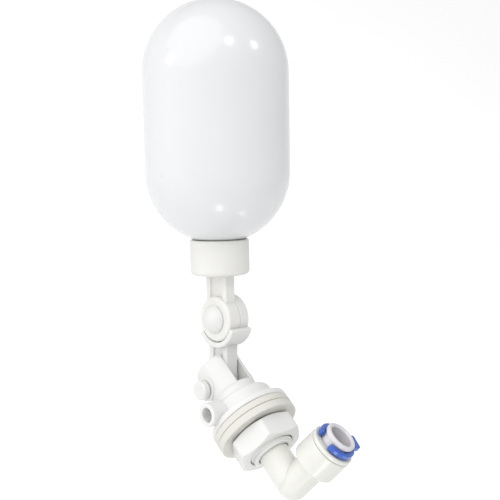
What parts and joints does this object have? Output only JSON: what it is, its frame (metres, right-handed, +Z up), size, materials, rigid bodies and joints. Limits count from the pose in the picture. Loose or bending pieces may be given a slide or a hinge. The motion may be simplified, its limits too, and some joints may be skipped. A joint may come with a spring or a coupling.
{
  "type": "float valve",
  "caption": "Small plastic bulkhead float valve with a bottle float on a hinged lever, a clamped knuckle, a fixing nut and a push-fit tube elbow.",
  "frame": {"origin": "on the body axis, in the plane where the tank wall bears on the flange gasket", "axes": "+Y along the body axis towards the outside of the tank, +Z up, +X towards the side spout"},
  "size_m": [0.042, 0.1251, 0.1005],
  "materials": {
    "white_moulding": "glossy, injection moulded",
    "float_plastic": "glossy, slightly translucent, blow moulded",
    "pale_rubber": "matte, slightly translucent",
    "ivory_moulding": "glossy, injection moulded",
    "stainless_steel": "thin stamped sheet",
    "blue_plastic": "satin, injection moulded",
    "black_rubber": "matte"
  },
  "bodies": {
    "valve": {"valve_body": "white_moulding", "inlet_nozzle": "white_moulding", "nozzle_oring": "black_rubber", "hinge_pin": "white_moulding", "pin_cap": "white_moulding", "flange_gasket": "pale_rubber"},
    "lever": {"lower_arm": "white_moulding"},
    "float_arm": {"upper_arm": "white_moulding", "knuckle_screw": "white_moulding", "knuckle_nut": "white_moulding", "float_shell": "float_plastic", "neck_seal": "pale_rubber"},
    "plunger": {"plunger": "white_moulding", "plunger_oring": "black_rubber", "seat_seal": "black_rubber"},
    "washer": {"outer_washer": "pale_rubber"},
    "nut": {"hex_nut": "white_moulding"},
    "elbow": {"elbow_body": "ivory_moulding", "spigot_oring": "black_rubber", "tube_oring": "black_rubber", "backup_ring": "ivory_moulding", "grip_ring": "stainless_steel", "collet_cartridge": "ivory_moulding"},
    "collet": {"collet": "ivory_moulding"},
    "clip": {"locking_clip": "blue_plastic"}
  },
  "joints": [
    {"name": "lever_swing", "type": "hinge", "parent": "valve", "child": "lever", "pos_m": [0, -0.0165, -0.002], "axis": [-1, 0, 0], "range_deg": [0, 38]},
    {"name": "plunger_slide", "type": "slide", "parent": "valve", "child": "plunger", "axis": [0, 1, 0], "range_m": [0, 0.00133]},
    {"name": "knuckle_bend", "type": "hinge", "parent": "lever", "child": "float_arm", "pos_m": [0, -0.02918, 0.01423], "axis": [-1, 0, 0], "range_deg": [-75, 60]},
    {"name": "nut_run", "type": "slide", "parent": "valve", "child": "washer", "axis": [0, 1, 0], "range_m": [0, 0.00467]},
    {"name": "nut_turn", "type": "hinge", "parent": "washer", "child": "nut", "pos_m": [0, 0, 0], "axis": [0, 1, 0], "range_deg": [0, 1260]},
    {"name": "elbow_swivel", "type": "hinge", "parent": "valve", "child": "elbow", "pos_m": [0, 0.0206, 0], "axis": [0, 1, 0], "continuous": true},
    {"name": "collet_travel", "type": "slide", "parent": "elbow", "child": "collet", "axis": [-0.2588, 0, 0.9659], "range_m": [0, 0.0005]},
    {"name": "clip_turn", "type": "hinge", "parent": "elbow", "child": "clip", "pos_m": [0, 0.0206, 0], "axis": [-0.2588, 0, 0.9659], "continuous": true}
  ],
  "couplings": [
    {"joint": "plunger_slide", "follows": "lever_swing", "m_per_rad": 0.002},
    {"joint": "nut_turn", "follows": "nut_run", "rad_per_m": 4699.5}
  ]
}
